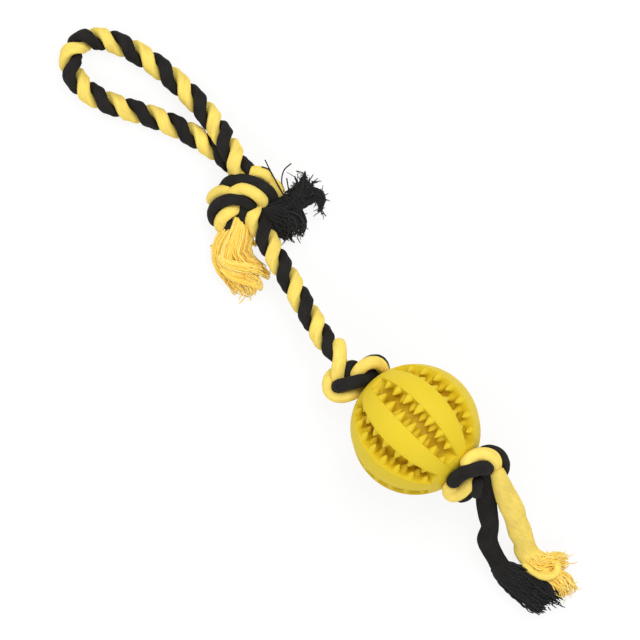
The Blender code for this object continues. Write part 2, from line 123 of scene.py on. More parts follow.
class Finish:
    """A material's nodes. `add` makes one from its type, settings and inputs, and gives back one output."""

    def __init__(self, name):
        self.material = bpy.data.materials.new(name)
        self.material.use_nodes = True
        self.tree = self.material.node_tree
        self.shader = self.tree.nodes["Principled BSDF"]

    def add(self, kind, settings=None, inputs=(), output=0):
        node = self.tree.nodes.new(kind)
        for name, value in (settings or {}).items():
            if name == "stops":
                self.set_stops(node.color_ramp, value)
            else:
                setattr(node, name, value)
        for key, value in inputs.items() if isinstance(inputs, dict) else enumerate(inputs):
            self.feed(node.inputs[key], value)
        return Value(self, node.outputs[output])

    def set_stops(self, ramp, stops):
        while len(ramp.elements) < len(stops):
            ramp.elements.new(0.5)
        for element, (place, colour) in zip(ramp.elements, stops):
            element.position = place
            element.color = (*colour, 1)

    def feed(self, socket, value):
        if isinstance(value, Value):
            self.tree.links.new(value.socket, socket)
        else:
            socket.default_value = value

    def set(self, **sockets):
        for name, value in sockets.items():
            self.feed(self.shader.inputs[name.replace("_", " ").title().replace("Ior", "IOR")], value)
        return self.material


backdrop = bpy.data.worlds.new("white_room")
backdrop.use_nodes = True
studio.world = backdrop
room = backdrop.node_tree
room.nodes.clear()
seen = room.nodes.new("ShaderNodeBackground")
seen.inputs["Strength"].default_value = 1
lit = room.nodes.new("ShaderNodeBackground")
lit.inputs["Strength"].default_value = ROOM_LIGHT
rays = room.nodes.new("ShaderNodeLightPath")
pick = room.nodes.new("ShaderNodeMixShader")
shown = room.nodes.new("ShaderNodeOutputWorld")
room.links.new(rays.outputs["Is Camera Ray"], pick.inputs[0])
room.links.new(lit.outputs[0], pick.inputs[1])
room.links.new(seen.outputs[0], pick.inputs[2])
room.links.new(pick.outputs[0], shown.inputs[0])

floor_finish = Finish("pale_floor")
floor_paint = floor_finish.set(base_color=(*FLOOR_COLOUR, 1), roughness=0.9)
glow = floor_finish.add("ShaderNodeEmission", inputs={"Color": (1, 1, 1, 1), "Strength": 1.0})
path = floor_finish.add("ShaderNodeLightPath", output="Is Camera Ray")
mixed = floor_finish.add(
    "ShaderNodeMixShader",
    inputs={0: path * FLOOR_GLOW, 1: Value(floor_finish, floor_finish.shader.outputs[0]), 2: glow},
)
floor_finish.tree.links.new(mixed.socket, floor_finish.tree.nodes["Material Output"].inputs[0])
bpy.ops.mesh.primitive_plane_add(size=8, location=(0, 0, -FLOOR_DROP))
floor = bpy.context.object
floor.name = "studio_floor"
floor.data.materials.append(floor_paint)

# The rope: a light yellow and a charcoal cotton strand, each about 10 mm wide, laid round each other
# right-handed. Each strand is itself twisted from many soft yarns, which show as fine slanting lines on its
# matt surface.

LAY_LENGTH = 0.0234
STRAND_WIDTH = 0.0098
STRAND_THICKNESS = 0.0062
STRAND_SIDES = 20
STRAND_OVERLAP = 0.0001
STRAND_YARNS = 9
STRAND_RIDGES = 0.012
STRAND_TWIST = 0.035
RING_SPACING = 0.0009
TIGHTENED_LENGTH = 0.014
YELLOW_CLOTH = (0.93, 0.70, 0.145)
BLACK_CLOTH = (0.018, 0.0165, 0.0150)
YARN_SLANT = math.radians(24)
YARN_LINES = (1700, 160, 1)
CURVE_STEPS = 40
STEEP_START = 0.9


def cotton(name, colour, dark_share, bump):
    """Soft twisted cotton: slanting yarn lines from the strand's own measured UV map, painted shade in the
    valleys between yarns, and a dusty sheen.
    """
    finish = Finish(name)
    around = finish.add("ShaderNodeUVMap", {"uv_map": "strand"})
    lines = finish.add(
        "ShaderNodeMapping",
        {"vector_type": "POINT"},
        {"Vector": around, "Rotation": (0, 0, YARN_SLANT), "Scale": YARN_LINES},
    )
    yarns = finish.add(
        "ShaderNodeTexNoise", inputs={"Vector": lines, "Scale": 1, "Detail": 3, "Roughness": 0.6}
    )
    place = finish.add("ShaderNodeTexCoord", output="Object")
    patches = finish.add("ShaderNodeTexNoise", inputs={"Vector": place, "Scale": 130, "Detail": 2})
    valley = finish.add("ShaderNodeAttribute", {"attribute_name": "valley"}, output="Fac")
    # Painted shade: points that lie deep in a valley between two yarns are drawn darker.
    shade = yarns * 0.6 + patches * 0.4 - valley * 0.17
    dark = tuple(c * dark_share for c in colour)
    light = tuple(min(1, c * 1.12 + 0.004) for c in colour)
    stops = ((0.36, dark), (0.56, colour), (0.72, light))
    tint = finish.add("ShaderNodeValToRGB", {"stops": stops}, (shade,))
    dents = finish.add("ShaderNodeBump", inputs={"Strength": bump, "Distance": 0.0004, "Height": yarns})
    return finish.set(
        base_color=tint,
        roughness=0.92,
        normal=dents,
        sheen_weight=0.35,
        sheen_roughness=0.5,
        sheen_tint=(*light, 1),
        specular_ior_level=0.2,
    )


yellow_cotton = cotton("yellow_cotton", YELLOW_CLOTH, 0.80, 0.5)
black_cotton = cotton("black_cotton", BLACK_CLOTH, 0.55, 0.6)


def distances_along(route):
    return np.concatenate(([0], np.cumsum(np.linalg.norm(np.diff(route, axis=0), axis=1))))


def smooth_route(points, spacing):
    """Points about this far apart on a smooth curve through given points, as an array."""
    points = np.array(points, float)
    padded = np.vstack((2 * points[0] - points[1], points, 2 * points[-1] - points[-2]))
    steps = np.linspace(0, 1, CURVE_STEPS, endpoint=False)[:, None]
    dense = []
    for a, b, c, d in zip(padded, padded[1:], padded[2:], padded[3:]):
        bend = (2 * a - 5 * b + 4 * c - d) * steps**2 + (3 * b - a - 3 * c + d) * steps**3
        dense.append(0.5 * (2 * b + (c - a) * steps + bend))
    dense = np.vstack((*dense, points[-1:]))
    along = distances_along(dense)
    wanted = np.linspace(0, along[-1], max(2, round(along[-1] / spacing) + 1))
    return np.column_stack([np.interp(wanted, along, dense[:, axis]) for axis in range(3)])


def tangents_along(route):
    tangents = np.gradient(route, axis=0)
    return tangents / np.linalg.norm(tangents, axis=1)[:, None]


def frames_along(route):
    """Side and up vectors of each point of a route, carried along it without twist.

    A route that starts steeply takes another first up vector.
    """
    tangents = tangents_along(route)
    up = np.array((0, 0, 1.0))
    if abs(up.dot(tangents[0])) > STEEP_START:
        up = np.array((0.3, 0.9, 0.1))
    sides = []
    ups = []
    for tangent in tangents:
        up = up - tangent * up.dot(tangent)
        up /= np.linalg.norm(up)
        sides.append(np.cross(up, tangent))
        ups.append(up)
    return np.array(sides), np.array(ups)


def ring_faces(count, sides, base=0):
    """Faces that join rings of points, counted from a base, and a cap at each end."""
    starts = base + np.arange(count - 1)[:, None] * sides
    around = np.arange(sides)[None, :]
    after = (around + 1) % sides
    lower = (starts + around, starts + after)
    upper = (starts + sides + after, starts + sides + around)
    faces = np.stack((*lower, *upper), axis=2).reshape(-1, 4).tolist()
    faces.append(list(range(base, base + sides))[::-1])
    faces.append(list(range(base + (count - 1) * sides, base + count * sides)))
    return faces


def add_piece(name, mesh, material):
    """A smooth shaded piece in the studio from its mesh and material."""
    mesh.materials.append(material)
    mesh.shade_smooth()
    piece = bpy.data.objects.new(name, mesh)
    studio.collection.objects.link(piece)
    return piece


def tube_piece(name, rings, lengths, material, valleys=None, lean=0.0):
    """A mesh piece from rings of points, closed by caps, with a UV map in real lengths round and along it.

    `valleys`, where given, says how deep between two yarns each point lies, from 0 to 1; the cotton darkens
    these valleys as painted shade. `lean` is how far the yarns' UV lines run round the piece for each length
    along it.
    """
    rings = np.array(rings)
    count, sides = rings.shape[:2]
    first = rings[0] - rings[0].mean(axis=0)
    if np.cross(first[0], first[1]).dot(rings[1].mean(axis=0) - rings[0].mean(axis=0)) < 0:
        rings = rings[:, ::-1]
        valleys = None if valleys is None else valleys[:, ::-1]
        lean = -lean
    mesh = bpy.data.meshes.new(name)
    mesh.from_pydata(rings.reshape(-1, 3).tolist(), [], ring_faces(count, sides))
    around = np.linalg.norm(rings - np.roll(rings, 1, axis=1), axis=2).sum(axis=1).mean() / sides
    left = np.broadcast_to(around * np.arange(sides), (count - 1, sides))
    low = np.broadcast_to(np.array(lengths)[:-1, None], (count - 1, sides))
    high = np.broadcast_to(np.array(lengths)[1:, None], (count - 1, sides))
    begin = left + lean * low
    end = left + lean * high
    corners = np.stack((begin, low, begin + around, low, end + around, high, end, high), axis=2).ravel()
    layer = mesh.uv_layers.new(name="strand")
    layer.data.foreach_set("uv", np.concatenate((corners, np.zeros(4 * sides))))
    if valleys is not None:
        mesh.attributes.new("valley", "FLOAT", "POINT").data.foreach_set("value", valleys.ravel())
    return add_piece(name, mesh, material)


def oval_rings(centres, wides, highs, half_width, half_height, sides, ridges=0, depth=0.0, twist=0.0):
    """Rings of an oval section with soft yarn ridges that turn by `twist` radians from ring to ring."""
    angles = np.linspace(0, 2 * math.pi, sides, endpoint=False)
    rings = []
    for index, (centre, wide, high) in enumerate(zip(centres, wides, highs)):
        swell = 1 + depth * np.cos(ridges * (angles + twist * index))
        width = half_width[index] if np.ndim(half_width) else half_width
        height = half_height[index] if np.ndim(half_height) else half_height
        outline = np.outer(np.cos(angles) * swell * -height, high)
        outline += np.outer(np.sin(angles) * swell * width, wide)
        rings.append(centre + outline)
    return np.array(rings)


def laid_strand(name, route, turn, material, slim=(1, 1), slips=((0, 0),)):
    """One strand of the two-strand lay along a route, starting at this angle round it.

    `slim` draws in the lay near its end, where a knot pulls it tight, from the first share to the second.
    `slips` are places along the route and how far the lay has slipped forward there.
    """
    along = distances_along(route)
    slipped = along - np.interp(along, [place for place, _ in slips], [slip for _, slip in slips])
    size = np.interp(along[-1] - along, (0, TIGHTENED_LENGTH), (slim[1], slim[0]))
    sides, ups = frames_along(route)
    angle = turn + 2 * math.pi * slipped / LAY_LENGTH
    out = ups * np.cos(angle)[:, None] - sides * np.sin(angle)[:, None]
    wide = ups * np.sin(angle)[:, None] + sides * np.cos(angle)[:, None]
    middle = route + out * (size * STRAND_THICKNESS / 2 - STRAND_OVERLAP)[:, None]
    half_width = size * STRAND_WIDTH / 2
    half_height = size * STRAND_THICKNESS / 2
    rings = oval_rings(
        middle, wide, out, half_width, half_height, STRAND_SIDES, STRAND_YARNS, STRAND_RIDGES, STRAND_TWIST
    )
    return tube_piece(name, rings, along, material)


ROPE_ROUTE = (
    (-0.1458, 0.0184, 0.0150), (-0.1394, 0.0164, 0.0146), (-0.1297, 0.0138, 0.0150),
    (-0.1205, 0.0110, 0.0158), (-0.1109, 0.0087, 0.0167), (-0.0987, 0.0058, 0.0181),
    (-0.0886, 0.0030, 0.0193), (-0.0771, 0.0004, 0.0206), (-0.0652, -0.0024, 0.0219),
    (-0.0548, -0.0030, 0.0231), (-0.0440, -0.0016, 0.0246), (-0.0340, 0.0000, 0.02665),
    (0.0000, 0.0000, 0.0345), (0.0342, 0.0000, 0.0424), (0.0384, 0.0012, 0.0433),
    (0.0430, 0.0033, 0.0442), (0.0466, 0.0047, 0.0449),
)
RUN_LEAD_LENGTH = 0.0067
RUN_END_X = -0.0545
RUN_OVERLAP_RINGS = 3
THROUGH_END_X = 0.0400
RUN_SLIM = (1, 0.6)
THROUGH_SLIM = (0.45, 0.72)
LOOP_ROUTE = (
    (-0.1620, 0.0310, 0.0150), (-0.1668, 0.0300, 0.0178), (-0.1765, 0.0328, 0.0176),
    (-0.1852, 0.0352, 0.0140), (-0.1945, 0.0367, 0.0106), (-0.2060, 0.0378, 0.0076),
    (-0.2186, 0.0378, 0.0064), (-0.2307, 0.0368, 0.0063), (-0.2432, 0.0348, 0.0063),
    (-0.2557, 0.0311, 0.0063), (-0.2670, 0.0256, 0.0063), (-0.2744, 0.0172, 0.0063),
    (-0.2740, 0.0076, 0.0063), (-0.2668, 0.0008, 0.0063), (-0.2555, -0.0007, 0.0063),
    (-0.2449, 0.0018, 0.0063), (-0.2345, 0.0066, 0.0063), (-0.2246, 0.0122, 0.0063),
    (-0.2145, 0.0172, 0.0063), (-0.2034, 0.0217, 0.0064), (-0.1918, 0.0252, 0.0066),
    (-0.1814, 0.0276, 0.0068), (-0.1730, 0.0287, 0.0076), (-0.1672, 0.0286, 0.0090),
    (-0.1612, 0.0268, 0.0108),
)
LOOP_SLIPS = (
    (0.036, 0), (0.072, 0.0037), (0.108, 0.0056),
    (0.119, 0.0030), (0.131, 0.0016), (0.150, 0.0023),
)
LOOP_LEAD_LENGTH = 0.0080
LOOP_LAY_TURN = math.radians(-51) - 2 * math.pi * LOOP_LEAD_LENGTH / LAY_LENGTH
RUN_LAY_TURN = math.radians(65) - 2 * math.pi * RUN_LEAD_LENGTH / LAY_LENGTH

whole_run = smooth_route(ROPE_ROUTE, RING_SPACING)
run_end = int(np.searchsorted(whole_run[:, 0], RUN_END_X))
run_route = whole_run[:run_end]
through_start = run_end - RUN_OVERLAP_RINGS
through_route = whole_run[through_start : int(np.searchsorted(whole_run[:, 0], THROUGH_END_X))]
through_turn = math.pi + RUN_LAY_TURN + 2 * math.pi * distances_along(whole_run)[through_start] / LAY_LENGTH
loop_route = smooth_route(LOOP_ROUTE, RING_SPACING)
clothes = {"yellow": yellow_cotton, "black": black_cotton}
laid = {}
for colour, cloth in clothes.items():
    half_turn = math.pi if colour == "black" else 0
    laid[colour, "run"] = laid_strand(
        colour + "_run_strand", run_route, RUN_LAY_TURN + half_turn, cloth, slim=RUN_SLIM
    )
    laid[colour, "through"] = laid_strand(
        colour + "_ball_strand", through_route, through_turn + half_turn, cloth, slim=THROUGH_SLIM
    )
    laid[colour, "loop"] = laid_strand(
        colour + "_loop_strand", loop_route, LOOP_LAY_TURN + half_turn, cloth, slips=LOOP_SLIPS
    )
    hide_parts(colour + "_main_run")
    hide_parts(colour + "_ball_run")
    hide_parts(colour + "_handle_loop")
    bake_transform(laid[colour, "run"])
    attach(laid[colour, "through"], "ball_rope")
    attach(laid[colour, "loop"], "handle")
    for stretch in ("run", "through", "loop"):
        colour + "_cotton"

# The knots at both ends of the ball: each strand leaves the rope, loops once round it and goes back under
# itself. Both strands are pulled tight against the rubber, so they lie side by side and press each other a
# little flat.

BALL_RADIUS = 0.035
AXIS_HEIGHT = 0.0345
PIXEL = PICTURE_WIDTH / PICTURE_PIXELS
KNOT_YARNS = 8
KNOT_RIDGES = 0.014
KNOT_TWIST = 0.06
KNOT_FLATNESS = 0.96
CLEAR_SHARE = 0.47
BLUNTEST_END = 0.02


def above(pixel, z, crop=(0, 0, 1)):
    """The point at height z that the camera sees at a pixel.

    The pixel is counted in a crop of the picture, given by its left, its top and how far it is enlarged.
    """
    across = crop[0] + pixel[0] / crop[2] - PICTURE_PIXELS / 2
    down = crop[1] + pixel[1] / crop[2] - PICTURE_PIXELS / 2
    step = PIXEL * (CAMERA_HEIGHT - z) / CAMERA_DISTANCE
    foot = np.array((*CAMERA_FOOT, 0))
    rightward = np.array(PICTURE_RIGHT) * across * step
    upward = np.array(PICTURE_UP) * down * step
    return foot + rightward - upward + np.array((0, 0, z))


def photo_route(points, crop, radius=None):
    """Points from pixels and heights in millimetres. With a radius, each is set just clear of the ball."""
    placed = []
    for x, y, height in points:
        z = height / 1000
        point = above((x, y), z, crop)
        if radius:
            level = math.hypot(point[0], point[1])
            clear = math.sqrt(max(0, (BALL_RADIUS + radius) ** 2 - level**2))
            z = max(z, AXIS_HEIGHT + clear) if z > AXIS_HEIGHT else min(z, AXIS_HEIGHT - clear)
            point = above((x, y), max(z, radius), crop)
        placed.append(point)
    return placed


def domed(shares):
    """The size of each ring of a dome, from how far it is from the tip as a share of the dome's depth."""
    return np.sqrt(1 - (1 - np.clip(shares, BLUNTEST_END, 1)) ** 2)


def round_strand(name, route, width, thickness, material):
    """A soft strand along a route whose ends are drawn in to a dome."""
    along = distances_along(route)
    sides, ups = frames_along(route)
    size = domed(np.minimum(along, along[-1] - along) / (width / 2))
    half_width = size * width / 2
    half_height = size * thickness / 2
    rings = oval_rings(
        route, sides, ups, half_width, half_height, STRAND_SIDES, KNOT_YARNS, KNOT_RIDGES, KNOT_TWIST
    )
    return tube_piece(name, rings, along, material)


UPPER_CROP = (315, 345, 17.42)
LOWER_CROP = (430, 435, 17.42)
UPPER_KNOT = {
    "yellow_upper_arc": (0.0069, (
        (690, 590, 29), (715, 530, 30.5), (755, 455, 32), (830, 375, 33.5), (935, 315, 34), (1050, 305, 32),
        (1140, 352, 27), (1182, 440, 21), (1150, 520, 15),
    )),
    "yellow_upper_curl": (0.0067, (
        (420, 430, 20), (335, 490, 21), (265, 560, 24), (230, 660, 26), (240, 775, 25), (305, 865, 25),
        (420, 903, 26), (550, 893, 27), (660, 852, 26), (760, 790, 22), (830, 720, 17),
    )),
    "black_upper_strap": (0.0074, (
        (362, 785, 20), (390, 722, 27), (455, 700, 32), (600, 668, 34), (800, 618, 34), (950, 562, 32),
        (1075, 505, 29), (1140, 470, 24), (1180, 440, 17),
    )),
    "black_upper_rim": (0.0068, (
        (800, 420, 24), (900, 325, 26), (1000, 275, 27), (1110, 280, 25), (1180, 350, 20), (1195, 450, 15),
        (1130, 555, 15), (1000, 635, 16), (860, 690, 18), (740, 700, 21),
    )),
    "black_upper_cross": (0.0068, (
        (740, 440, 21), (672, 372, 25), (604, 394, 26.5), (584, 510, 27), (586, 640, 26),
    )),
    "yellow_upper_lead": (0.0075, (
        (400, -70, 22), (425, 30, 26.5), (437, 150, 28.5), (424, 290, 29), (402, 410, 29), (392, 530, 28.5),
        (408, 650, 25),
    )),
}
LOWER_KNOT = {
    "yellow_lower_arc": (0.0075, (
        (598, 575, 51), (632, 495, 52.5), (698, 422, 53.5), (800, 355, 54), (940, 335, 53.5),
        (1055, 362, 52.5), (1120, 425, 51), (1138, 490, 48.5), (1130, 550, 44),
    )),
    "yellow_lower_curl": (0.0078, (
        (400, 850, 47), (345, 925, 47), (340, 1010, 46), (420, 1052, 45), (530, 1000, 45), (630, 905, 46),
        (690, 810, 46), (720, 720, 44),
    )),
    "black_lower_strap": (0.0080, (
        (392, 872, 47), (412, 808, 52), (490, 724, 56), (634, 640, 57.5), (792, 597, 57), (900, 575, 55.5),
        (975, 572, 52.5), (1030, 590, 47),
    )),
    "black_lower_rim": (0.0070, (
        (860, 330, 44), (960, 290, 45), (1080, 285, 45), (1200, 340, 43), (1270, 450, 41), (1283, 560, 38.5),
        (1245, 660, 35.5), (1150, 735, 33.5), (1030, 770, 33.5), (900, 760, 36),
    )),
    "black_lower_core": (0.0065, (
        (560, 700, 43), (700, 680, 43.5), (850, 650, 43.5), (980, 630, 42),
    )),
    "black_lower_underside": (0.0068, (
        (450, 1020, 36), (530, 1070, 37), (620, 1045, 37), (700, 975, 38), (770, 900, 40),
    )),
    "black_lower_inside": (0.0070, (
        (860, 740, 48), (825, 830, 48), (800, 920, 45), (800, 985, 41), (840, 1030, 36),
    )),
}
for knot, crop, place in ((UPPER_KNOT, UPPER_CROP, "upper"), (LOWER_KNOT, LOWER_CROP, "lower")):
    for name, (width, points) in knot.items():
        colour = name.split("_")[0]
        route = smooth_route(photo_route(points, crop, width * CLEAR_SHARE), RING_SPACING / 2)
        strand = round_strand(name, route, width, width * KNOT_FLATNESS, clothes[colour])
        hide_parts(f"{colour}_{place}_knot")
        if name.endswith("lead"):
            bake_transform(strand)
        else:
            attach(strand, "ball_rope")
        colour + "_cotton"

# The handle binding: the rope's own two ends wound side by side round the doubled rope, five passes across
# the top. Each pass bows towards the loop and goes down between its neighbours, over a core that stands for
# the strands inside.

KNOT_CROP = (190, 140, 6)
BINDING = {
    "yellow_wrap_top": (
        (270, 240, 9), (300, 218, 13), (340, 202, 17), (385, 192, 19), (428, 195, 19), (460, 215, 17.5),
        (474, 245, 14), (468, 270, 10),
    ),
    "yellow_wrap_right": (
        (440, 255, 10), (478, 258, 13.5), (512, 275, 14.5), (532, 305, 12), (530, 338, 8), (515, 360, 5),
    ),
    "black_wrap_upper": (
        (190, 305, 6), (208, 285, 10), (228, 257, 15), (268, 240, 19), (325, 240, 21.5), (385, 256, 22),
        (440, 284, 20), (480, 318, 16), (496, 348, 11), (486, 372, 6),
    ),
    "yellow_wrap_left": (
        (140, 375, 5), (136, 345, 10), (165, 315, 14), (215, 303, 15.5), (262, 312, 16),
    ),
    "yellow_wrap_middle": (
        (235, 345, 14), (268, 312, 20), (315, 293, 23), (365, 306, 23.5), (408, 335, 21.5), (432, 362, 17),
        (424, 388, 12),
    ),
    "black_wrap_lower": (
        (178, 498, 6), (148, 478, 8), (138, 440, 11), (152, 402, 14.5), (192, 370, 18.5), (250, 355, 21.5),
        (308, 360, 21.5), (352, 384, 18), (380, 405, 13),
    ),
    "yellow_wrap_bottom": (
        (300, 396, 12), (270, 412, 16), (232, 434, 17.5), (196, 464, 16.5), (180, 500, 13), (188, 540, 8),
    ),
    "black_wrap_inside": (
        (305, 385, 14), (318, 420, 15.5), (326, 460, 14.5), (325, 500, 10),
    ),
    "black_wrap_under": (
        (296, 462, 11), (262, 490, 12), (226, 520, 11.5), (202, 546, 8), (200, 565, 5),
    ),
}
WRAP_WIDTH = 0.0068
WRAP_FLATNESS = 0.95
CORES = {
    "yellow": ((215, 330, 9), (250, 390, 9.5), (290, 450, 9)),
    "black": ((310, 260, 10), (350, 320, 10.5), (380, 380, 9.5)),
}
CORE_WIDTH = 0.0150
CORE_THICKNESS = 0.0130
for name, points in BINDING.items():
    colour = name.split("_")[0]
    route = smooth_route(photo_route(points, KNOT_CROP), RING_SPACING / 2)
    wrap = round_strand(name, route, WRAP_WIDTH, WRAP_WIDTH * WRAP_FLATNESS, clothes[colour])
    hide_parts(colour + "_handle_wraps")
    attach(wrap, "handle")
    colour + "_cotton"
for colour, points in CORES.items():
    route = smooth_route(photo_route(points, KNOT_CROP), RING_SPACING)
    core = round_strand(colour + "_binding_core", route, CORE_WIDTH, CORE_THICKNESS, clothes[colour])
    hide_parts(colour + "_handle_core")
    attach(core, "handle")
    colour + "_cotton"

# The two tails past the lower knot: single soft cotton strands that slope down to the floor, where they open
# into loose yarns. Their twist has opened a little, so each yarn shows as a ridge of its own, with painted
# shade in the valleys between them.

TAIL_CROP = (470, 440, 6)
TAIL_YARNS = 23
TAIL_SIDES = 138
TAIL_RIDGES = 0.035
TAIL_TWIST = 0.08
TAIL_RADIUS = 0.005
TAIL_DOME = 0.0022
YELLOW_TAIL = (
    ((153, 172, 47), 3.8, 3.4), ((168, 205, 45.8), 4.1, 3.6), ((188, 262, 42), 5.0, 3.8),
    ((213, 327, 37), 5.8, 3.8), ((240, 385, 32.5), 6.3, 3.8), ((264, 436, 28), 6.2, 3.8),
    ((276, 480, 24), 5.8, 3.8), ((298, 545, 18.5), 6.4, 3.8), ((322, 605, 14), 5.6, 3.8),
    ((332, 655, 10.5), 6.2, 3.8), ((360, 700, 8.5), 6.2, 3.8),
)
BLACK_TAIL = (
    ((72, 130, 46), 4.4, 3.6), ((80, 190, 44), 5.0, 3.8), ((90, 270, 38.5), 5.3, 3.8),
    ((99, 380, 31.5), 5.5, 3.8), ((109, 450, 27), 5.3, 3.8), ((120, 518, 22), 4.7, 3.8),
    ((104, 592, 17.5), 5.6, 3.8), ((122, 648, 14), 5.2, 3.8), ((155, 708, 11), 4.9, 3.8),
    ((200, 790, 8), 5.5, 3.8),
)


def photo_outline(rows, crop):
    """Rows of pixel, height and half sizes in millimetres as points and half sizes in metres."""
    return [(above((x, y), z / 1000, crop), wide / 1000, high / 1000) for (x, y, z), wide, high in rows]


def sized_route(outline, spacing):
    """A smooth route through an outline's points, and its half widths and half heights."""
    places = np.array([place for place, _, _ in outline])
    route = smooth_route(places, spacing)
    marks = distances_along(places)
    shares = np.linspace(0, 1, len(route))
    wide = np.interp(shares, marks / marks[-1], [w for _, w, _ in outline])
    high = np.interp(shares, marks / marks[-1], [h for _, _, h in outline])
    return route, wide, high


tails = {}
for colour, rows in (("yellow", YELLOW_TAIL), ("black", BLACK_TAIL)):
    route, wide, high = sized_route(photo_outline(rows, TAIL_CROP), RING_SPACING)
    along = distances_along(route)
    sides, ups = frames_along(route)
    drawn = domed(along / TAIL_DOME)
    rings = oval_rings(
        route, sides, ups, wide * drawn, high * drawn, TAIL_SIDES, TAIL_YARNS, TAIL_RIDGES, TAIL_TWIST
    )
    around = np.linspace(0, 2 * math.pi, TAIL_SIDES, endpoint=False)
    lays = around[None, :] + TAIL_TWIST * np.arange(len(route))[:, None]
    # How deep each point lies between two yarns, kept for the cotton to paint shade there.
    valleys = np.clip(-np.cos(TAIL_YARNS * lays), 0, 1) ** 2
    lean = TAIL_TWIST / RING_SPACING * TAIL_RADIUS
    tail = tube_piece(colour + "_tail_strand", rings, along, clothes[colour], valleys, lean)
    tails[colour] = (tail, route)
    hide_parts(colour + "_tail")
    colour + "_cotton"
    colour + "_tail_end"
    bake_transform(tail)

# Frayed ends: the strands come apart into some hundred thin crimped yarns, whose tips spread and thin out.
# The yellow yarns have orange shades among them and pale washed-out tips. The bundle that lies under the
# others is darkened as painted shade.

YELLOW_YARN_SHADES = (
    (0.0, (0.74, 0.38, 0.035)),
    (0.25, (0.90, 0.57, 0.075)),
    (0.6, (0.95, 0.70, 0.13)),
    (1.0, (0.95, 0.79, 0.42)),
)
BLACK_YARN_SHADES = (
    (0.0, (0.006, 0.005, 0.005)),
    (0.6, (0.013, 0.012, 0.012)),
    (1.0, (0.034, 0.031, 0.030)),
)
YARN_SIDES = 5
YARN_SPACING = 0.0012
YARN_CRIMP = 0.0002
YARN_CRIMP_WAVES = 50
YARN_TAPER = 0.55
SHORTEST_YARN = 0.72
FEWEST_YARN_POINTS = 6
THICKNESS_SPREAD = (0.8, 1.2)
YARN_SHADE = 0.62
SHADE_SPREAD = (0.1, 0.72)
TIP_PALENESS = 0.25
# Painted shade for the bundle that lies under the outer locks.
INSIDE_PAINTED_SHADE = 0.6
FUZZ_REACH = (0.0018, 0.0046)
FUZZ_ROOT_SHARE = 0.7
FUZZ_CURL = 0.0030
FUZZ_POINTS = 7
FUZZ_THINNESS = 0.65
FLOOR_GAP = 0.0004
FIRST_SEED = 3


def frayed_cotton(name, stops, shine):
    """Loose yarn: a shade for each yarn, a paler tip and, under other bundles, painted shade, all kept on
    the mesh as one attribute.
    """
    finish = Finish(name)
    shade = finish.add("ShaderNodeAttribute", {"attribute_name": "yarn_shade"}, output="Fac")
    place = finish.add("ShaderNodeTexCoord", output="Object")
    fleck = finish.add("ShaderNodeTexNoise", inputs={"Vector": place, "Scale": 900, "Detail": 1})
    tint = finish.add("ShaderNodeValToRGB", {"stops": stops}, (shade + fleck * 0.16 - 0.08,))
    dents = finish.add("ShaderNodeBump", inputs={"Strength": 0.4, "Distance": 0.0002, "Height": fleck})
    return finish.set(
        base_color=tint,
        roughness=0.9,
        normal=dents,
        sheen_weight=shine,
        specular_ior_level=0.2,
    )


frayed = {
    "yellow": frayed_cotton("yellow_frayed_cotton", YELLOW_YARN_SHADES, 0.3),
    "black": frayed_cotton("black_frayed_cotton", BLACK_YARN_SHADES, 0.1),
}


def yarn_mesh(name, lines, radii, shades, material):
    """Thin five-sided yarns along many lines, joined in one mesh, with a shade for each of their points."""
    angles = np.linspace(0, 2 * math.pi, YARN_SIDES, endpoint=False)
    points = []
    faces = []
    base = 0
    for line, thin in zip(lines, radii):
        line[:, 2] = np.maximum(line[:, 2], FLOOR_GAP + thin)
        sides, ups = frames_along(line)
        sideways = sides[:, None, :] * np.sin(angles)[None, :, None]
        upwards = ups[:, None, :] * np.cos(angles)[None, :, None]
        rings = line[:, None, :] + thin[:, None, None] * (sideways - upwards)
        faces += ring_faces(len(line), YARN_SIDES, base)
        points.append(rings.reshape(-1, 3))
        base += len(line) * YARN_SIDES
    mesh = bpy.data.meshes.new(name)
    mesh.from_pydata(np.vstack(points).tolist(), [], faces)
    each = np.concatenate([np.repeat(shade, YARN_SIDES) for shade in shades])
    mesh.attributes.new("yarn_shade", "FLOAT", "POINT").data.foreach_set("value", each)
    return add_piece(name, mesh, material)


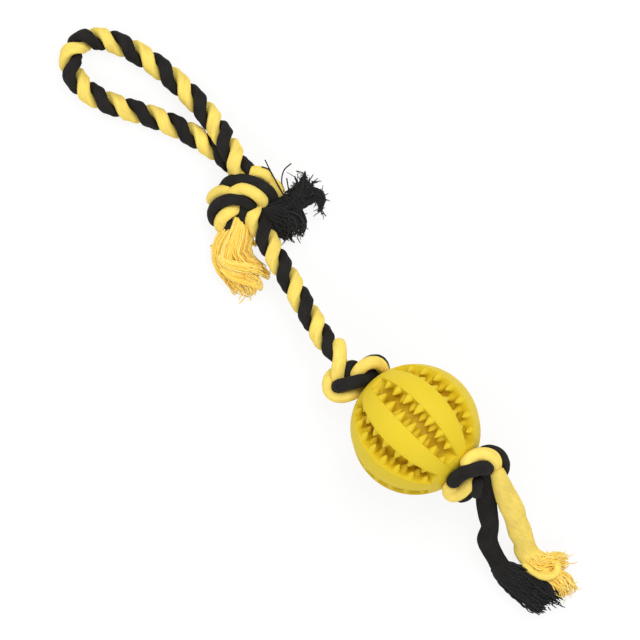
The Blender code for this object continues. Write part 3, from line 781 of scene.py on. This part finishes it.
def yarn_bundle(name, outline, count, radius, fuzz, material, seed, wander, deep):
    """Many thin yarns that follow an outline, each on its own line inside it, and some that stand off it.

    `wander` is how far a yarn strays from its line towards its tip, and `deep` darkens all of them as
    painted shade, for a bundle that lies under others.
    """
    dice = np.random.default_rng(seed)
    route, wide, high = sized_route(outline, YARN_SPACING)
    sides, ups = frames_along(route)
    tangents = tangents_along(route)
    steps = len(route)
    lines = []
    radii = []
    shades = []
    for yarn in range(count):
        last = max(FEWEST_YARN_POINTS, int(steps * dice.uniform(SHORTEST_YARN, 1.0)))
        share = np.linspace(0, 1, steps)[:last]
        out = math.sqrt(dice.uniform(0, 1))
        way = dice.uniform(0, 2 * math.pi) + dice.uniform(-0.8, 0.8) * share
        crimp = dice.uniform(0, 6, 4)
        across = out * np.cos(way) + wander * share * np.sin(share * 9 + crimp[0]) * 0.3
        upward = out * np.sin(way) + wander * share * np.sin(share * 8 + crimp[1]) * 0.3
        line = route[:last] + sides[:last] * (across * wide[:last])[:, None]
        line = line + ups[:last] * (upward * high[:last])[:, None]
        line = line + sides[:last] * (YARN_CRIMP * np.sin(share * YARN_CRIMP_WAVES + crimp[2]))[:, None]
        lines.append(line)
        radii.append(radius * dice.uniform(*THICKNESS_SPREAD) * (1 - YARN_TAPER * share**4))
        own = dice.uniform(*SHADE_SPREAD) - YARN_SHADE
        shade = YARN_SHADE + own * np.clip(0.25 + share * 2, 0, 1)
        shades.append(shade + TIP_PALENESS * share**5 - deep * share)
    for yarn in range(fuzz):
        start = int(steps * dice.uniform(0.3, 0.97))
        way = dice.uniform(-0.4, math.pi + 0.4) if dice.uniform() < 0.5 else dice.uniform(0, 2 * math.pi)
        out = sides[start] * math.cos(way) + ups[start] * math.sin(way)
        heading = out * dice.uniform(0.5, 1.1) + tangents[start] * dice.uniform(0.2, 1.2)
        heading /= np.linalg.norm(heading)
        curl = np.cross(heading, dice.uniform(-1, 1, 3)) * dice.uniform(0.0, FUZZ_CURL)
        begin = route[start] + sides[start] * wide[start] * FUZZ_ROOT_SHARE * math.cos(way)
        begin = begin + ups[start] * high[start] * FUZZ_ROOT_SHARE * math.sin(way)
        share = np.linspace(0, 1, FUZZ_POINTS)
        reach = dice.uniform(*FUZZ_REACH)
        lines.append(begin + heading * reach * share[:, None] + curl * share[:, None] ** 2)
        radii.append(FUZZ_THINNESS * radius * dice.uniform(*THICKNESS_SPREAD) * (1 - 0.5 * share**3))
        shades.append(dice.uniform(0.2, 0.8) + TIP_PALENESS * share**5 - deep)
    return yarn_mesh(name, lines, radii, shades, material)


TASSEL_CROP = (190, 140, 6.19)
# Each bundle: its number of yarns, their radius in millimetres, its fuzz, and its outline as pixels, heights
# and half sizes in millimetres.
FRAYED_ENDS = {
    ("yellow_tassel", "handle", TASSEL_CROP, 0.35): {
        "yellow_tassel_inside": (150, 0.55, 0, (
            ((298, 500, 11), 2.2, 2.0), ((275, 560, 10), 5.0, 3.4), ((258, 640, 9), 7.2, 4.0),
            ((268, 720, 8), 7.4, 4.2), ((310, 800, 7), 8.0, 4.2), ((350, 870, 6.5), 7.0, 3.8),
            ((375, 925, 5.5), 4.0, 3.0),
        )),
        "yellow_tassel_left": (66, 0.5, 6, (
            ((292, 478, 13), 2.0, 2.0), ((255, 530, 12), 3.0, 2.4), ((208, 590, 10.5), 3.4, 2.6),
            ((178, 650, 9), 3.2, 2.6), ((172, 720, 8), 3.2, 2.6), ((192, 790, 7), 3.0, 2.6),
            ((232, 850, 6), 2.8, 2.4), ((266, 910, 5), 2.2, 2.0), ((286, 968, 4), 1.0, 1.0),
        )),
        "yellow_tassel_middle": (70, 0.5, 5, (
            ((298, 480, 14), 2.2, 2.0), ((284, 550, 14), 3.2, 2.6), ((254, 625, 13), 3.6, 2.8),
            ((228, 695, 12), 3.6, 2.8), ((236, 760, 11), 3.4, 2.6), ((295, 808, 10), 3.4, 2.6),
            ((365, 845, 9), 3.2, 2.4), ((420, 885, 7.5), 2.8, 2.2), ((442, 945, 6), 1.6, 1.4),
        )),
        "yellow_tassel_front": (70, 0.5, 8, (
            ((305, 482, 13.5), 2.0, 2.0), ((322, 550, 13.5), 3.2, 2.6), ((312, 622, 13), 3.6, 2.8),
            ((300, 690, 12.5), 3.6, 2.8), ((338, 742, 11.5), 3.4, 2.6), ((400, 782, 10), 3.2, 2.4),
            ((455, 822, 8), 2.8, 2.2), ((500, 862, 6), 1.2, 1.2),
        )),
        "yellow_tassel_right": (44, 0.5, 0, (
            ((312, 488, 12), 1.8, 1.8), ((350, 542, 11), 2.5, 2.2), ((366, 600, 10), 2.5, 2.2),
            ((354, 662, 9), 2.6, 2.2), ((372, 730, 8), 2.8, 2.2), ((430, 775, 7), 2.4, 2.0),
            ((482, 800, 5.5), 1.2, 1.2),
        )),
        "yellow_tassel_under": (60, 0.5, 8, (
            ((250, 720, 9), 3.2, 2.4), ((300, 795, 9.5), 3.6, 2.6), ((345, 855, 9), 3.6, 2.6),
            ((378, 910, 7.5), 3.2, 2.4), ((392, 975, 5), 1.8, 1.6),
        )),
        "yellow_tassel_low": (54, 0.5, 8, (
            ((195, 745, 8), 3.0, 2.2), ((240, 822, 8), 3.4, 2.6), ((290, 885, 7.5), 3.2, 2.6),
            ((328, 935, 6), 2.6, 2.2), ((350, 985, 4.5), 1.2, 1.2),
        )),
        "yellow_tassel_cross": (56, 0.5, 6, (
            ((178, 715, 11), 1.6, 1.6), ((235, 765, 12.5), 2.6, 2.0), ((325, 788, 13), 2.8, 2.0),
            ((410, 800, 11.5), 2.6, 2.0), ((480, 848, 8.5), 1.4, 1.2),
        )),
        "yellow_tassel_cross_low": (50, 0.5, 6, (
            ((196, 792, 9.5), 1.4, 1.4), ((265, 842, 11), 2.4, 2.0), ((345, 868, 11), 2.6, 2.0),
            ((420, 905, 9), 1.8, 1.6), ((448, 940, 7), 0.9, 0.9),
        )),
        "yellow_tassel_tuft": (14, 0.4, 0, (
            ((215, 610, 9), 1.6, 1.4), ((168, 650, 8.5), 1.4, 1.2), ((112, 664, 8), 0.8, 0.8),
        )),
        "yellow_tassel_wisp": (14, 0.4, 0, (
            ((345, 590, 9), 1.4, 1.4), ((382, 632, 8.5), 1.4, 1.2), ((412, 650, 8), 1.0, 0.8),
            ((395, 668, 7), 0.7, 0.7),
        )),
    },
    ("black_tassel", "handle", KNOT_CROP, 0.9): {
        "black_tassel_lock": (240, 0.42, 90, (
            ((430, 420, 13), 3.0, 3.0), ((470, 430, 12.5), 4.6, 4.0), ((530, 440, 11), 7.0, 5.6),
            ((590, 465, 10), 8.2, 6.4), ((630, 515, 9), 6.4, 5.2), ((620, 575, 7), 3.6, 3.0),
        )),
        "black_tassel_upper": (120, 0.42, 90, (
            ((470, 420, 13), 3.6, 3.4), ((560, 392, 12), 5.2, 4.4), ((636, 345, 11), 5.4, 4.4),
            ((692, 285, 10), 4.0, 3.2), ((728, 228, 9), 2.6, 2.0),
        )),
        "black_tassel_spike": (26, 0.38, 12, (
            ((600, 400, 13), 3.0, 2.4), ((655, 300, 13), 2.0, 1.6), ((680, 230, 12), 1.2, 1.0),
            ((690, 172, 11), 0.6, 0.6),
        )),
        "black_tassel_left_spike": (16, 0.36, 8, (
            ((600, 400, 13), 2.4, 2.0), ((650, 310, 13), 1.4, 1.2), ((640, 250, 12), 0.8, 0.8),
            ((620, 205, 12), 0.5, 0.5),
        )),
        "black_tassel_hook": (70, 0.40, 50, (
            ((600, 420, 11), 4.0, 3.4), ((680, 362, 10.5), 4.0, 3.0), ((742, 330, 10), 3.6, 2.8),
            ((782, 345, 9), 2.6, 2.2), ((786, 400, 8), 1.5, 1.4), ((780, 448, 7), 0.8, 0.8),
        )),
        "black_tassel_low": (80, 0.42, 40, (
            ((480, 440, 11), 4.0, 3.0), ((520, 510, 9.5), 5.2, 3.6), ((568, 556, 7.5), 4.0, 2.6),
            ((600, 604, 5.5), 1.6, 1.4),
        )),
    },
    ("yellow_frayed_tip", "yellow_tail_end", TAIL_CROP, 0.9): {
        "yellow_tail_lock": (130, 0.5, 16, (
            ((335, 640, 10.5), 4.6, 3.4), ((358, 690, 9), 5.4, 3.8), ((410, 735, 8), 6.0, 4.0),
            ((480, 735, 7), 4.6, 3.2), ((540, 725, 6), 4.4, 2.8), ((600, 715, 5), 3.4, 2.0),
        )),
        "yellow_tail_low": (120, 0.5, 16, (
            ((400, 770, 7), 3.6, 2.6), ((470, 810, 6.5), 4.0, 3.0), ((540, 850, 6), 5.4, 3.2),
            ((590, 910, 5), 5.4, 2.6), ((605, 940, 4.5), 4.6, 2.2),
        )),
    },
    ("black_frayed_tip", "black_tail_end", TAIL_CROP, 0.9): {
        "black_tail_lock": (300, 0.44, 30, (
            ((165, 750, 9), 4.4, 3.4), ((212, 805, 7.5), 5.8, 4.0), ((285, 858, 6.5), 7.0, 4.4),
            ((358, 905, 6), 7.8, 4.4), ((428, 948, 5.5), 8.2, 4.0), ((488, 982, 4.5), 7.2, 3.0),
        )),
        "black_tail_upper": (90, 0.44, 20, (
            ((200, 745, 9), 2.4, 2.4), ((260, 775, 9), 3.4, 3.0), ((340, 810, 8.5), 4.4, 3.4),
            ((420, 870, 7.5), 4.4, 3.0), ((500, 940, 6), 3.6, 2.2), ((555, 975, 5), 2.4, 1.6),
        )),
    },
}
CURL_POINTS = (
    (308, 690, 8.5), (342, 762, 9), (400, 806, 9.5), (466, 822, 10), (516, 796, 10.5), (524, 752, 9.5),
    (500, 722, 6),
)
CURL_WIDTH = 0.0041
CURL_THICKNESS = 0.0040
curl_route = smooth_route(photo_route(CURL_POINTS, TAIL_CROP), RING_SPACING / 2)
curl = round_strand("yellow_tail_curl", curl_route, CURL_WIDTH, CURL_THICKNESS, yellow_cotton)
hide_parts("yellow_frayed_tip")
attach(curl, "yellow_tail_end")
tips = {"yellow": [curl], "black": []}
seed = FIRST_SEED
for (node, body, crop, wander), bundles in FRAYED_ENDS.items():
    colour = node.split("_")[0]
    for name, (count, radius, fuzz, rows) in bundles.items():
        outline = photo_outline(rows, crop)
        # The inside bundle lies under the outer locks, so its yarns get painted shade that deepens towards
        # their tips.
        deep = INSIDE_PAINTED_SHADE if name.endswith("inside") else 0
        yarns = yarn_bundle(name, outline, count, radius / 1000, fuzz, frayed[colour], seed, wander, deep)
        seed += 1
        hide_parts(node)
        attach(yarns, body)
        colour + "_cotton"
        if node.endswith("tip"):
            tips[colour].append(yarns)

STRAY_YARNS = {
    "black_stray_long": ((560, 330, 17), (522, 262, 20), (486, 192, 19), (450, 120, 17)),
    "black_stray_curved": ((560, 310, 14), (550, 240, 16), (565, 180, 17), (608, 140, 17)),
    "black_stray_short": ((600, 350, 13), (590, 290, 14), (580, 228, 14)),
    "black_stray_beside": ((575, 360, 16), (545, 300, 19), (508, 232, 20), (474, 178, 20), (430, 160, 22)),
}
STRAY_SPACING = 0.0008
STRAY_HALF_WIDTH = 0.0004
STRAY_HALF_HEIGHT = 0.00038
STRAY_SIDES = 6
for name, points in STRAY_YARNS.items():
    route = smooth_route(photo_route(points, KNOT_CROP), STRAY_SPACING)
    sides, ups = frames_along(route)
    rings = oval_rings(route, sides, ups, STRAY_HALF_WIDTH, STRAY_HALF_HEIGHT, STRAY_SIDES)
    stray = tube_piece(name, rings, distances_along(route), black_cotton)
    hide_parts("black_tassel")
    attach(stray, "handle")
for colour in ("yellow", "black"):
    tail, route = tails[colour]

# The ball: one hollow moulding of lemon rubber, 70 mm across, with eight grooves from pole to pole.
# Both walls of a groove carry rounded teeth in an upper and a lower row that mesh with those across.

BALL_TILT = math.radians(13)
BORE_RADIUS = 0.0068
GROOVE_COUNT = 8
GROOVE_ANGLE = math.radians(23.5)
GROOVE_TURN = math.radians(6.7)
GROOVE_DEPTH = 0.0092
GROOVE_END = math.radians(58)
RIB_STEP = 0.0006
END_RINGS = (0.0052, 0.0045, 0.0038, 0.0030, 0.0020, 0.0010, 0.0005, 0, -RIB_STEP)
# How far a groove has sunk at these distances from its wall and from its end, as a share of its depth.
WALL_STEPS = (0, 0.0001, 0.0002, 0.0004, 0.0007, 0.0011)
WALL_DROPS = (0, 0.1, 0.45, 0.9, 0.98, 1)
END_STEPS = (0, 0.0010, 0.0030, 0.0052)
END_DROPS = (0, 0.35, 0.85, 1)
FLOOR_COLUMNS = 20
RIB_COLUMNS = 16
GROOVE_RINGS = 100
POLE_RINGS = 12
BORE_RINGS = 8
BORE_INSET = 0.001
SHARP_EDGE = math.radians(30)
# Rib colours, and painted shade: a darker, more orange colour for the groove floors.
RUBBER_TONES_AND_GROOVE_SHADE = ((0.0, (0.72, 0.535, 0.018)), (0.4, (0.71, 0.505, 0.010)), (1.0, (0.58, 0.34, 0.001)))


def on_bore_axis(along, aside, up):
    """A point from its distance along the ball's tilted bore, towards +Y and square up from both."""
    forward = along * math.cos(BALL_TILT) - up * math.sin(BALL_TILT)
    height = along * math.sin(BALL_TILT) + up * math.cos(BALL_TILT)
    return (forward, aside, AXIS_HEIGHT + height)


def lemon_rubber():
    """Matt natural rubber: a fine even grain, faint cloudy patches, painted shade deep in the grooves and a
    soft broad shine.
    """
    finish = Finish("lemon_rubber")
    place = finish.add("ShaderNodeTexCoord", output="Object")
    grain = finish.add("ShaderNodeTexNoise", inputs={"Vector": place, "Scale": 2600, "Detail": 2})
    clouds = finish.add("ShaderNodeTexNoise", inputs={"Vector": place, "Scale": 60, "Detail": 3})
    depth = finish.add("ShaderNodeAttribute", {"attribute_name": "groove_depth"}, output="Fac")
    # Painted shade: the deeper a point lies in its groove, the darker and more orange it is drawn.
    shade = depth * 0.8 + clouds * 0.12 - 0.04
    tint = finish.add("ShaderNodeValToRGB", {"stops": RUBBER_TONES_AND_GROOVE_SHADE}, (shade,))
    dents = finish.add("ShaderNodeBump", inputs={"Strength": 0.25, "Distance": 0.0001, "Height": grain})
    return finish.set(base_color=tint, roughness=0.52 + clouds * 0.1, normal=dents, specular_ior_level=0.25)


rubber = lemon_rubber()


def add_rubber_piece(name, points, faces, depths):
    """A piece of the moulding, with how deep in its groove each point lies, from 0 to 1, for the painted
    shade.
    """
    mesh = bpy.data.meshes.new(name)
    mesh.from_pydata(points, [], faces)
    mesh.attributes.new("groove_depth", "FLOAT", "POINT").data.foreach_set("value", depths)
    piece = add_piece(name, mesh, rubber)
    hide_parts("treat_ball")
    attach(piece, "ball")
    return piece


def add_ball():
    """The ball's skin as rings round the bore axis, and the bore through it."""
    edge = GROOVE_ANGLE / 2
    near_edge = np.array((-RIB_STEP, *WALL_STEPS)) / BALL_RADIUS
    floor = np.linspace(-edge, edge, FLOOR_COLUMNS)[1:-1]
    rib = np.linspace(edge, math.pi * 2 / GROOVE_COUNT - edge, RIB_COLUMNS)[1:-1]
    local = np.concatenate((near_edge - edge, floor, near_edge + edge, rib))
    middles = GROOVE_TURN + np.arange(GROOVE_COUNT) * math.pi * 2 / GROOVE_COUNT
    turns = (middles[:, None] + local[None, :]).ravel()
    mouth = np.tile(local, GROOVE_COUNT)
    bore_latitude = math.acos(BORE_RADIUS / BALL_RADIUS)
    near_end = GROOVE_END - np.array(END_RINGS) / BALL_RADIUS
    beyond = np.linspace(near_end[-1], bore_latitude, POLE_RINGS)[1:]
    inside = np.linspace(-near_end[0], near_end[0], GROOVE_RINGS)[1:-1]
    latitudes = np.concatenate((-beyond[::-1], -near_end[::-1], inside, near_end, beyond))
    lat, mouth = np.meshgrid(latitudes, mouth, indexing="ij")
    from_wall = (edge - np.abs(mouth)) * BALL_RADIUS
    from_end = (GROOVE_END - np.abs(lat)) * BALL_RADIUS
    wall_drop = np.interp(from_wall, WALL_STEPS, WALL_DROPS)
    end_drop = np.interp(from_end, END_STEPS, END_DROPS)
    sunk = np.minimum(wall_drop, end_drop) * GROOVE_DEPTH
    level = BALL_RADIUS - sunk
    along = level * np.sin(lat)
    aside = level * np.cos(lat) * np.sin(turns)
    upward = level * np.cos(lat) * np.cos(turns)
    bore_end = BALL_RADIUS * math.sin(bore_latitude)
    for place in np.linspace(bore_end - BORE_INSET, BORE_INSET - bore_end, BORE_RINGS):
        along = np.vstack((along, np.full((1, len(turns)), place)))
        aside = np.vstack((aside, BORE_RADIUS * np.sin(turns)[None, :]))
        upward = np.vstack((upward, BORE_RADIUS * np.cos(turns)[None, :]))
        sunk = np.vstack((sunk, np.zeros((1, len(turns)))))
    forward, aside, height = on_bore_axis(along, aside, upward)
    points = np.stack((forward, aside, np.maximum(height, 0)), axis=2).reshape(-1, 3)
    rows, columns = sunk.shape
    starts = np.arange(rows)[:, None] * columns
    next_row = (starts + columns) % (rows * columns)
    one = np.arange(columns)[None, :]
    after = (one + 1) % columns
    corners = (starts + one, next_row + one, next_row + after, starts + after)
    quads = np.stack(corners, axis=2).reshape(-1, 4).tolist()
    skin = add_rubber_piece("ball_moulding", points.tolist(), quads, sunk.ravel() / GROOVE_DEPTH)
    skin.data.set_sharp_from_angle(angle=SHARP_EDGE)


TOOTH_PITCH = math.radians(15)
TOOTH_REACH_SHARE = 0.435
TOOTH_RADIUS = 0.0026
TOOTH_SIDES = 20
TOOTH_STEPS = (-0.14, 0.0, 0.12, 0.25, 0.4, 0.55, 0.7, 0.82, 0.91, 0.97, 0.995, 1.0)
TOOTH_ROOT_SIZE = 1.06
TOOTH_TIP_SIZE = 0.02
TOOTH_CURVE = 0.72
# Each row: the wall it grows from, its number of teeth and how deep it lies below the ball's surface.
TOOTH_ROWS = (
    (-1, 8, 0.0028),
    (-1, 7, 0.0067),
    (1, 7, 0.0028),
    (1, 6, 0.0067),
)


def add_teeth():
    """Round pointed cones on the groove walls, two rows to a wall, each row meshing with the one across."""
    steps = np.array(TOOTH_STEPS)
    sizes = np.where(steps < 0, TOOTH_ROOT_SIZE, np.clip(1 - steps, 0.0, 1) ** TOOTH_CURVE)
    sizes[-1] = TOOTH_TIP_SIZE
    around = np.linspace(0, 2 * math.pi, TOOTH_SIDES, endpoint=False)
    points = []
    faces = []
    depths = []
    for groove in range(GROOVE_COUNT):
        middle = GROOVE_TURN + groove * math.pi * 2 / GROOVE_COUNT
        for wall, count, depth in TOOTH_ROWS:
            for number in range(count):
                lat = (number - (count - 1) / 2) * TOOTH_PITCH
                half = GROOVE_ANGLE / 2 * BALL_RADIUS * math.cos(lat)
                length = 2 * half * TOOTH_REACH_SHARE
                width = TOOTH_RADIUS * (0.82 + 0.18 * math.cos(lat) ** 2)
                level = BALL_RADIUS - depth
                start = len(points)
                for step, size in zip(steps, sizes):
                    turn = middle + wall * (half - step * length) / (BALL_RADIUS * math.cos(lat))
                    aside = math.sin(turn)
                    upward = math.cos(turn)
                    outward = np.array((math.sin(lat), math.cos(lat) * aside, math.cos(lat) * upward))
                    north = np.array((math.cos(lat), -math.sin(lat) * aside, -math.sin(lat) * upward))
                    spread = width * size
                    for angle in around:
                        away = math.cos(angle) * north + math.sin(angle) * outward
                        points.append(on_bore_axis(*(level * outward + spread * away)))
                        # How deep each point of a tooth lies, which the rubber turns into painted shade.
                        depths.append(max(0.0, (depth - spread * math.sin(angle)) / GROOVE_DEPTH))
                shell = ring_faces(len(steps), TOOTH_SIDES, start)
                faces += shell if wall < 0 else [face[::-1] for face in shell]
    add_rubber_piece("ball_teeth", points, faces, depths)


add_ball()
add_teeth()
